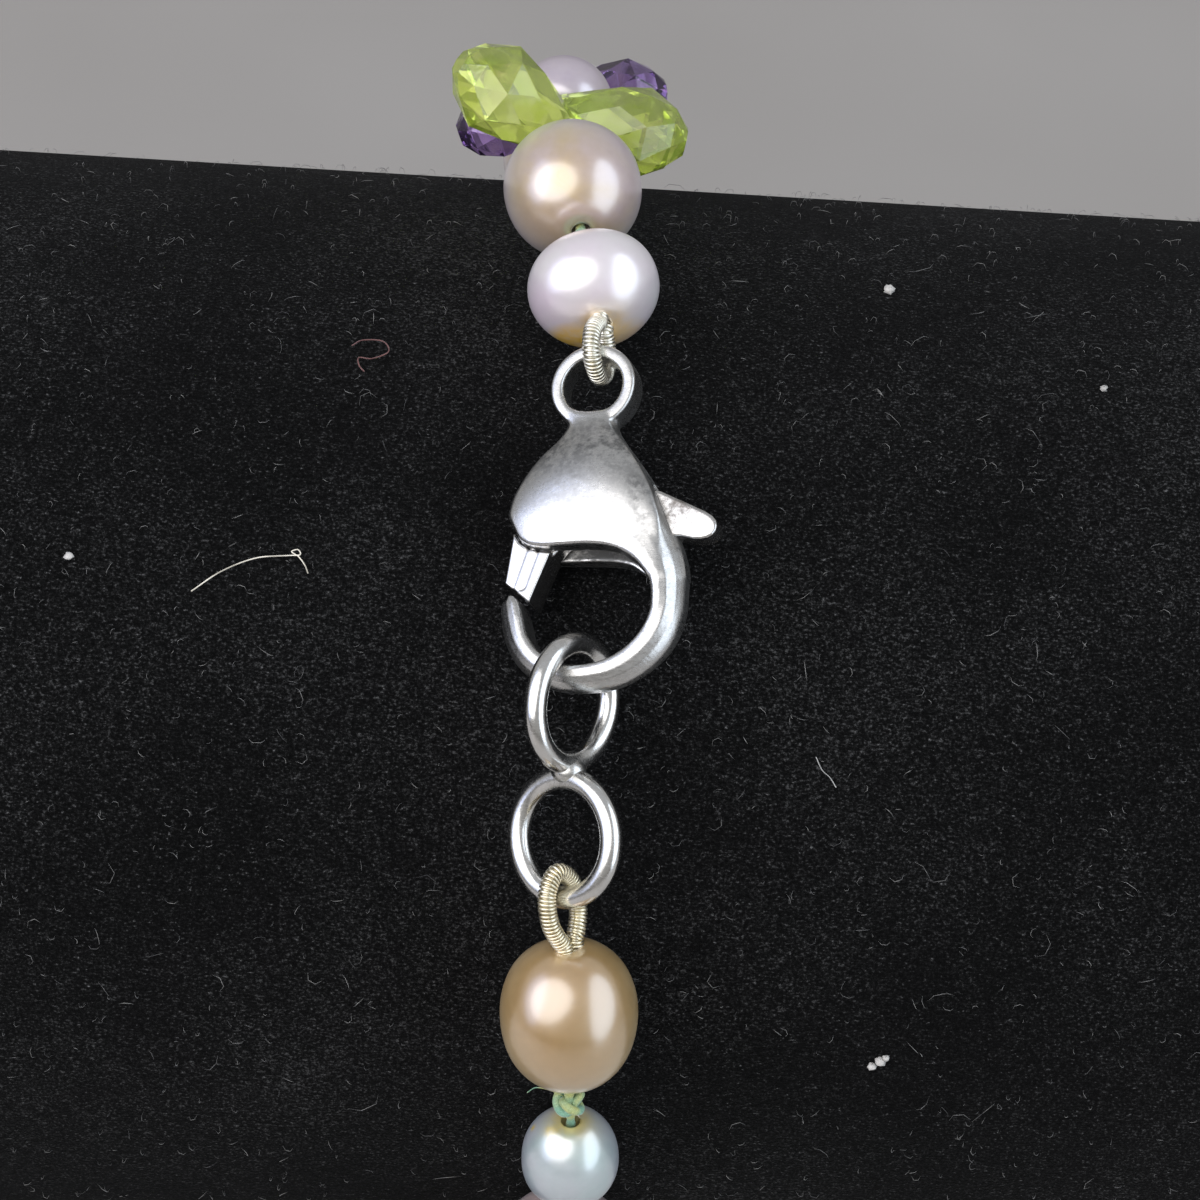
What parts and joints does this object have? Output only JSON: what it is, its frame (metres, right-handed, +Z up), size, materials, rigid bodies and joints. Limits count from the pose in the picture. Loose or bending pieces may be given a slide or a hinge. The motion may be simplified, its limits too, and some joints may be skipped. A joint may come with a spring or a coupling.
{
  "type": "pearl bracelet on a display bar",
  "caption": "Knotted pearl and cut-stone bracelet with a sprung lobster clasp, lying as a closed loop over a velvet-covered display bar on a round base.",
  "frame": {"origin": "centre of the base's underside", "axes": "+X along the display bar towards the end that the bracelet lies near, +Z up, -Y the side that the clasp faces"},
  "size_m": [0.136, 0.08, 0.106],
  "materials": {
    "amethyst_01": "cut and polished stone",
    "amethyst_02": "cut and polished stone",
    "amethyst_03": "cut and polished stone",
    "amethyst_04": "cut and polished stone",
    "amethyst_05": "cut and polished stone",
    "amethyst_06": "cut and polished stone",
    "amethyst_07": "cut and polished stone",
    "amethyst_08": "cut and polished stone",
    "clasp_silver": "polished silver",
    "lever_silver": "polished silver",
    "pin_steel": "steel",
    "black_velvet": "black velvet",
    "base_velvet": "black velvet",
    "post_velvet": "black velvet",
    "link_silver": "polished silver",
    "pearl_01": "pearl lustre",
    "pearl_02": "pearl lustre",
    "pearl_03": "pearl lustre",
    "pearl_04": "pearl lustre",
    "pearl_05": "pearl lustre",
    "pearl_06": "pearl lustre",
    "pearl_07": "pearl lustre",
    "pearl_08": "pearl lustre",
    "pearl_09": "pearl lustre",
    "pearl_10": "pearl lustre",
    "pearl_11": "pearl lustre",
    "pearl_12": "pearl lustre",
    "pearl_13": "pearl lustre",
    "pearl_14": "pearl lustre",
    "pearl_15": "pearl lustre",
    "pearl_16": "pearl lustre",
    "pearl_17": "pearl lustre",
    "pearl_18": "pearl lustre",
    "pearl_19": "pearl lustre",
    "peridot_01": "cut and polished stone",
    "peridot_02": "cut and polished stone",
    "peridot_03": "cut and polished stone",
    "peridot_04": "cut and polished stone",
    "peridot_05": "cut and polished stone",
    "peridot_06": "cut and polished stone",
    "peridot_07": "cut and polished stone",
    "peridot_08": "cut and polished stone",
    "green_silk": "knotted silk",
    "coil_lower": "fine coiled wire",
    "coil_upper": "fine coiled wire"
  },
  "bodies": {
    "bracelet_and_stand": {"amethyst_01": "amethyst_01", "amethyst_02": "amethyst_02", "amethyst_03": "amethyst_03", "amethyst_04": "amethyst_04", "amethyst_05": "amethyst_05", "amethyst_06": "amethyst_06", "amethyst_07": "amethyst_07", "amethyst_08": "amethyst_08", "clasp_body": "clasp_silver", "clasp_pin": "pin_steel", "display_bar": "black_velvet", "display_base": "base_velvet", "display_post": "post_velvet", "double_ring": "link_silver", "pearl_01": "pearl_01", "pearl_02": "pearl_02", "pearl_03": "pearl_03", "pearl_04": "pearl_04", "pearl_05": "pearl_05", "pearl_06": "pearl_06", "pearl_07": "pearl_07", "pearl_08": "pearl_08", "pearl_09": "pearl_09", "pearl_10": "pearl_10", "pearl_11": "pearl_11", "pearl_12": "pearl_12", "pearl_13": "pearl_13", "pearl_14": "pearl_14", "pearl_15": "pearl_15", "pearl_16": "pearl_16", "pearl_17": "pearl_17", "pearl_18": "pearl_18", "pearl_19": "pearl_19", "peridot_01": "peridot_01", "peridot_02": "peridot_02", "peridot_03": "peridot_03", "peridot_04": "peridot_04", "peridot_05": "peridot_05", "peridot_06": "peridot_06", "peridot_07": "peridot_07", "peridot_08": "peridot_08", "silk_thread": "green_silk", "wire_loop_lower": "coil_lower", "wire_loop_upper": "coil_upper"},
    "lever": {"clasp_lever": "lever_silver"}
  },
  "joints": [
    {"name": "lever_pivot", "type": "hinge", "parent": "bracelet_and_stand", "child": "lever", "pos_m": [0.03609, -0.01348, 0.09781], "axis": [-0.3256, -0.4263, 0.844], "range_deg": [0, 16], "stiffness_Nm_per_rad": 0.01, "springref_deg": -22.92}
  ]
}
